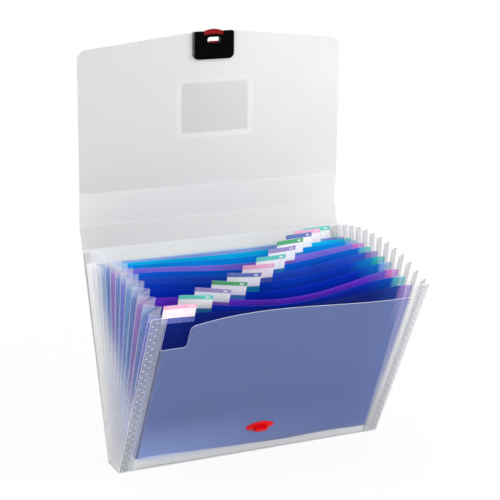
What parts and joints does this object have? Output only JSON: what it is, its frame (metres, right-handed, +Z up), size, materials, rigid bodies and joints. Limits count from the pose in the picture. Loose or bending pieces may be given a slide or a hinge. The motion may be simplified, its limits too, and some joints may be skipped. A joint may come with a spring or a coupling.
{
  "type": "accordion file folder",
  "caption": "Expanding document file of frosted sheet: fanned tinted dividers with index tabs between pleated gussets, and a creased flap whose sliding-latch clasp shuts on a stud.",
  "frame": {"origin": "middle of the base panel's underside", "axes": "+Z up, +X to the right along the file's width as seen from the front, +Y to the back, towards the flap's side"},
  "size_m": [0.335, 0.2382, 0.489],
  "materials": {
    "frosted_sheet": "satin",
    "gusset_film": "satin",
    "red_moulding": "gloss",
    "black_moulding": "gloss",
    "spring_moulding": "satin",
    "clear_film": "gloss",
    "label_card": "matte",
    "divider_violet": "satin",
    "divider_teal": "satin",
    "divider_magenta": "satin",
    "divider_blue": "satin",
    "divider_green": "satin",
    "tab_pink": "matte",
    "tab_turquoise": "matte",
    "tab_mauve": "matte",
    "tab_green": "matte",
    "tab_blue": "matte"
  },
  "bodies": {
    "base": {"base_panel": "frosted_sheet", "left_gusset": "gusset_film", "right_gusset": "gusset_film"},
    "front_cover": {"front_cover": "frosted_sheet", "front_left_weld_strip": "gusset_film", "front_right_weld_strip": "gusset_film", "stud": "red_moulding", "stud_back_plate": "red_moulding"},
    "back_cover": {"back_cover": "frosted_sheet", "back_left_weld_strip": "gusset_film", "back_right_weld_strip": "gusset_film"},
    "top_panel": {"top_panel": "frosted_sheet"},
    "flap_band": {"flap_band": "frosted_sheet"},
    "flap": {"flap": "frosted_sheet", "label_pocket": "clear_film", "label_card": "label_card", "clasp_shell": "black_moulding", "clasp_back_plate": "black_moulding", "latch_spring": "spring_moulding"},
    "latch": {"latch": "red_moulding"},
    "divider_01": {"divider_01": "divider_violet", "tab_sleeve_01": "clear_film", "tab_card_01": "tab_pink"},
    "divider_02": {"divider_02": "divider_teal", "tab_sleeve_02": "clear_film", "tab_card_02": "tab_turquoise"},
    "divider_03": {"divider_03": "divider_magenta", "tab_sleeve_03": "clear_film", "tab_card_03": "tab_mauve"},
    "divider_04": {"divider_04": "divider_blue", "tab_sleeve_04": "clear_film", "tab_card_04": "tab_green"},
    "divider_05": {"divider_05": "divider_green", "tab_sleeve_05": "clear_film", "tab_card_05": "tab_blue"},
    "divider_06": {"divider_06": "divider_violet", "tab_sleeve_06": "clear_film", "tab_card_06": "tab_pink"},
    "divider_07": {"divider_07": "divider_teal", "tab_sleeve_07": "clear_film", "tab_card_07": "tab_turquoise"},
    "divider_08": {"divider_08": "divider_magenta", "tab_sleeve_08": "clear_film", "tab_card_08": "tab_mauve"},
    "divider_09": {"divider_09": "divider_blue", "tab_sleeve_09": "clear_film", "tab_card_09": "tab_green"},
    "divider_10": {"divider_10": "divider_green", "tab_sleeve_10": "clear_film", "tab_card_10": "tab_blue"},
    "divider_11": {"divider_11": "divider_violet", "tab_sleeve_11": "clear_film", "tab_card_11": "tab_pink"},
    "divider_12": {"divider_12": "divider_teal", "tab_sleeve_12": "clear_film", "tab_card_12": "tab_turquoise"}
  },
  "joints": [
    {"name": "front_cover_fold", "type": "hinge", "parent": "base", "child": "front_cover", "pos_m": [0, -0.018, 0.00075], "axis": [-1, 0, 0], "range_deg": [0, 30], "deforming": ["left_gusset", "right_gusset"]},
    {"name": "divider_01_fold", "type": "hinge", "parent": "base", "child": "divider_01", "pos_m": [0, -0.01523, 0.0015], "axis": [-1, 0, 0], "range_deg": [0, 26.25]},
    {"name": "divider_02_fold", "type": "hinge", "parent": "base", "child": "divider_02", "pos_m": [0, -0.01246, 0.0015], "axis": [-1, 0, 0], "range_deg": [0, 22.48]},
    {"name": "divider_03_fold", "type": "hinge", "parent": "base", "child": "divider_03", "pos_m": [0, -0.00969, 0.0015], "axis": [-1, 0, 0], "range_deg": [0, 18.72]},
    {"name": "divider_04_fold", "type": "hinge", "parent": "base", "child": "divider_04", "pos_m": [0, -0.00692, 0.0015], "axis": [-1, 0, 0], "range_deg": [0, 14.95]},
    {"name": "divider_05_fold", "type": "hinge", "parent": "base", "child": "divider_05", "pos_m": [0, -0.00415, 0.0015], "axis": [-1, 0, 0], "range_deg": [0, 11.19]},
    {"name": "divider_06_fold", "type": "hinge", "parent": "base", "child": "divider_06", "pos_m": [0, -0.00138, 0.0015], "axis": [-1, 0, 0], "range_deg": [0, 7.42]},
    {"name": "divider_07_fold", "type": "hinge", "parent": "base", "child": "divider_07", "pos_m": [0, 0.00138, 0.0015], "axis": [-1, 0, 0], "range_deg": [0, 3.66]},
    {"name": "divider_08_fold", "type": "hinge", "parent": "base", "child": "divider_08", "pos_m": [0, 0.00415, 0.0015], "axis": [-1, 0, 0], "range_deg": [-0.125, 0]},
    {"name": "divider_09_fold", "type": "hinge", "parent": "base", "child": "divider_09", "pos_m": [0, 0.00692, 0.0015], "axis": [-1, 0, 0], "range_deg": [-3.89, 0]},
    {"name": "divider_10_fold", "type": "hinge", "parent": "base", "child": "divider_10", "pos_m": [0, 0.00969, 0.0015], "axis": [-1, 0, 0], "range_deg": [-7.65, 0]},
    {"name": "divider_11_fold", "type": "hinge", "parent": "base", "child": "divider_11", "pos_m": [0, 0.01246, 0.0015], "axis": [-1, 0, 0], "range_deg": [-11.42, 0]},
    {"name": "divider_12_fold", "type": "hinge", "parent": "base", "child": "divider_12", "pos_m": [0, 0.01523, 0.0015], "axis": [-1, 0, 0], "range_deg": [-15.18, 0]},
    {"name": "back_cover_fold", "type": "hinge", "parent": "base", "child": "back_cover", "pos_m": [0, 0.018, 0.00075], "axis": [-1, 0, 0], "range_deg": [-18.95, 0]},
    {"name": "top_panel_crease", "type": "hinge", "parent": "back_cover", "child": "top_panel", "pos_m": [0, 0.09442, 0.23878], "axis": [1, 0, 0], "range_deg": [-80, 75]},
    {"name": "band_crease", "type": "hinge", "parent": "top_panel", "child": "flap_band", "pos_m": [0, 0.10283, 0.26497], "axis": [1, 0, 0], "range_deg": [-80, 77.63]},
    {"name": "flap_crease", "type": "hinge", "parent": "flap_band", "child": "flap", "pos_m": [0, 0.09879, 0.30476], "axis": [1, 0, 0], "range_deg": [-10, 4.3]},
    {"name": "latch_press", "type": "slide", "parent": "flap", "child": "latch", "axis": [0, 0.0262, -0.9997], "range_m": [0, 0.0022], "stiffness_N_per_m": 300, "springref_m": -0.003, "deforming": ["latch_spring"]}
  ],
  "couplings": [
    {"joint": "divider_01_fold", "follows": "front_cover_fold", "ratio": 0.87452},
    {"joint": "divider_02_fold", "follows": "front_cover_fold", "ratio": 0.74904},
    {"joint": "divider_03_fold", "follows": "front_cover_fold", "ratio": 0.62357},
    {"joint": "divider_04_fold", "follows": "front_cover_fold", "ratio": 0.49809},
    {"joint": "divider_05_fold", "follows": "front_cover_fold", "ratio": 0.37261},
    {"joint": "divider_06_fold", "follows": "front_cover_fold", "ratio": 0.24714},
    {"joint": "divider_07_fold", "follows": "front_cover_fold", "ratio": 0.12166},
    {"joint": "divider_08_fold", "follows": "front_cover_fold", "ratio": -0.003819},
    {"joint": "divider_09_fold", "follows": "front_cover_fold", "ratio": -0.1293},
    {"joint": "divider_10_fold", "follows": "front_cover_fold", "ratio": -0.25477},
    {"joint": "divider_11_fold", "follows": "front_cover_fold", "ratio": -0.38025},
    {"joint": "divider_12_fold", "follows": "front_cover_fold", "ratio": -0.50573},
    {"joint": "back_cover_fold", "follows": "front_cover_fold", "ratio": -0.63121}
  ]
}
